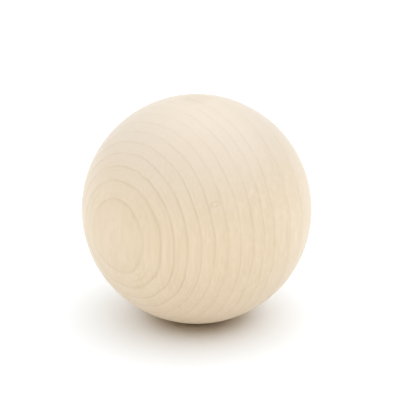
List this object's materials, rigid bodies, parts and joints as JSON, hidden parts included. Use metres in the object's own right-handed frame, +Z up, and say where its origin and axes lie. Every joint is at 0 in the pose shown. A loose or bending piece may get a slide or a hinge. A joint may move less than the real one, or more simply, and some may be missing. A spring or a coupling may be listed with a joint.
{
  "type": "wooden ball",
  "caption": "Solid turned ball of pale bare wood, sanded smooth, with no hole or flat, for craft work, toys, finials and rollers.",
  "frame": {"origin": "centre of the ball", "axes": "+Z up along the wood's grain, +Y away from the viewer of the picture, +X to the right"},
  "size_m": [0.0635, 0.0634, 0.0636],
  "materials": {
    "bare_wood": "bare, sanded smooth, no stain or varnish"
  },
  "bodies": {
    "root": {"ball": "bare_wood"}
  },
  "joints": []
}
